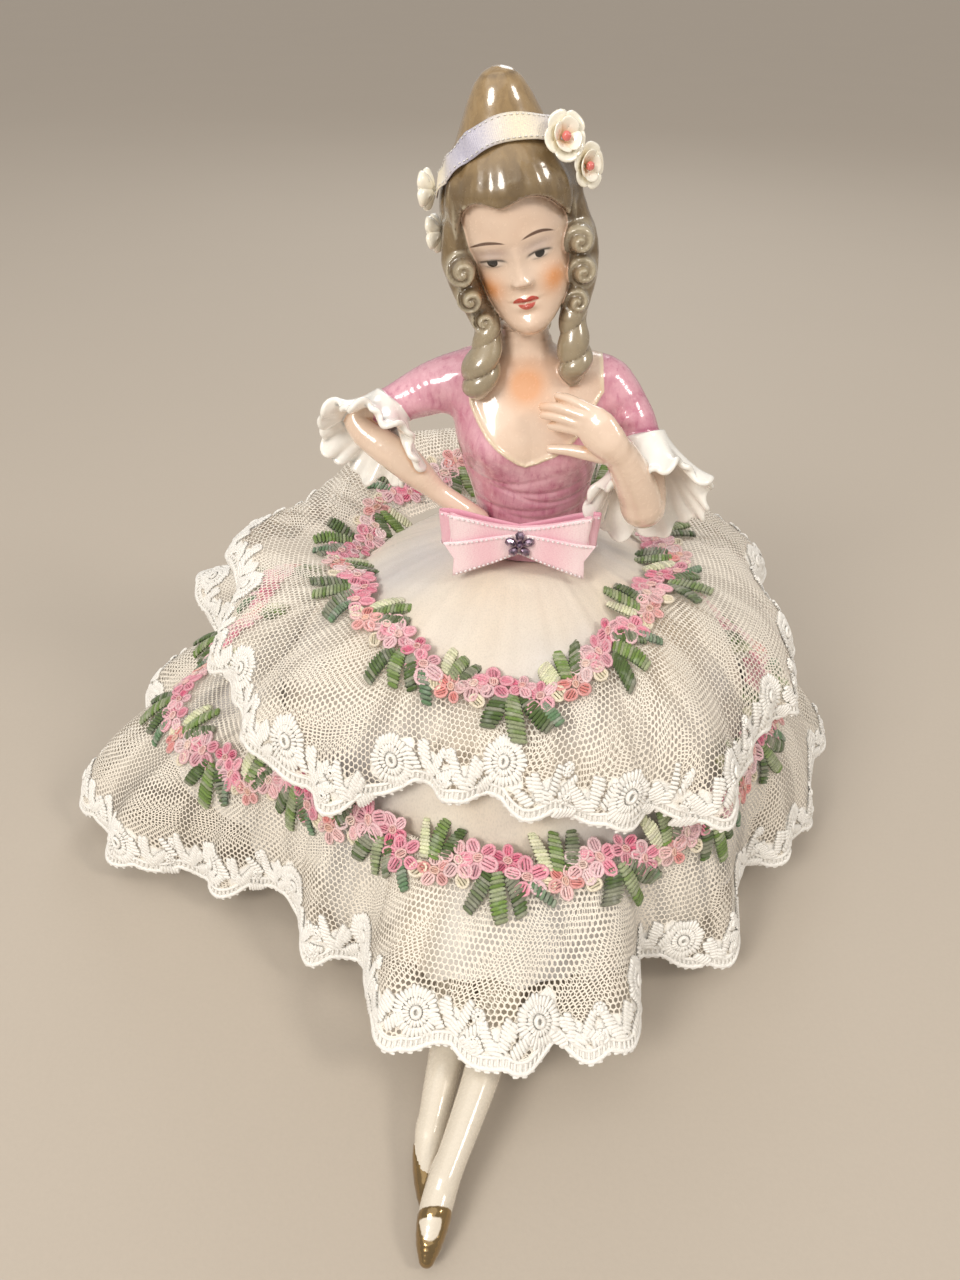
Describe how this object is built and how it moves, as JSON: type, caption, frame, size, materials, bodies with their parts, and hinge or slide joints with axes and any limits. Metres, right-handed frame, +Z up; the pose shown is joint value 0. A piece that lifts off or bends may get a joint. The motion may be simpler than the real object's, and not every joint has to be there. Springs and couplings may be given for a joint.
{
  "type": "dresden lace figurine",
  "caption": "Porcelain half-doll in a rococo gown on a stuffed cushion skirt, with lace ruffles, embroidered flower garlands, ribbons and a pair of crossed porcelain legs.",
  "frame": {"origin": "centre of the cushion's flat underside, under the half-doll's axis", "axes": "+Z up through the half-doll, -Y the way she faces and the legs point, +X towards her left hand"},
  "size_m": [0.2336, 0.2438, 0.2105],
  "materials": {
    "glazed_porcelain": "painted porcelain under a clear gloss glaze",
    "cream_porcelain": "cream porcelain under a gloss glaze, with pink beads",
    "ivory_satin": "ivory satin",
    "net_lace": "ivory hexagonal net with raised white embroidery and a scalloped edge",
    "embroidery": "shaded pink blossoms and green leaves in rayon thread",
    "pearl_ribbon": "pearl-white satin ribbon with stitched edges",
    "pink_ribbon": "pink satin ribbon with picot edges",
    "lilac_metal": "polished lilac-grey metal"
  },
  "bodies": {
    "root": {"half_doll": "glazed_porcelain", "legs": "glazed_porcelain", "hair_flower_left_upper": "cream_porcelain", "hair_flower_left_lower": "cream_porcelain", "hair_flower_right_upper": "cream_porcelain", "hair_flower_right_lower": "cream_porcelain", "cushion": "ivory_satin", "lining_flounce": "ivory_satin", "upper_ruffle": "net_lace", "lower_ruffle": "net_lace", "upper_garland": "embroidery", "lower_garland": "embroidery", "hair_ribbon": "pearl_ribbon", "waist_bow": "pink_ribbon", "bow_flower": "lilac_metal"}
  },
  "joints": []
}
